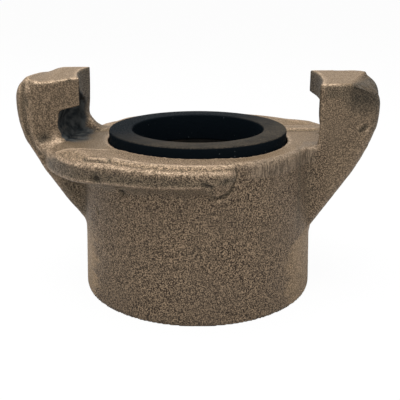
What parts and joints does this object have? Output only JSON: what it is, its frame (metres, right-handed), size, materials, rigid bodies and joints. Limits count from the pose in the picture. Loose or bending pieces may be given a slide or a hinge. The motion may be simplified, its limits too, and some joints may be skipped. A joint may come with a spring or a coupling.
{
  "type": "sandblast hose coupling",
  "caption": "Brass claw coupling half with two hooked lugs, helical cam flanges, a pipe-threaded barrel and a rubber face washer.",
  "frame": {"origin": "centre of the pipe end's flat base, on the pipe axis", "axes": "+Z along the pipe axis from the pipe end towards the sealing face; +X along the line through the two lugs"},
  "size_m": [0.1022, 0.073, 0.0617],
  "materials": {
    "cast_brass": "dull sand-cast brass, rough grain with ground and turned faces",
    "washer_rubber": "matte black moulded rubber"
  },
  "bodies": {
    "root": {"coupling_body": "cast_brass", "face_washer": "washer_rubber"}
  },
  "joints": []
}
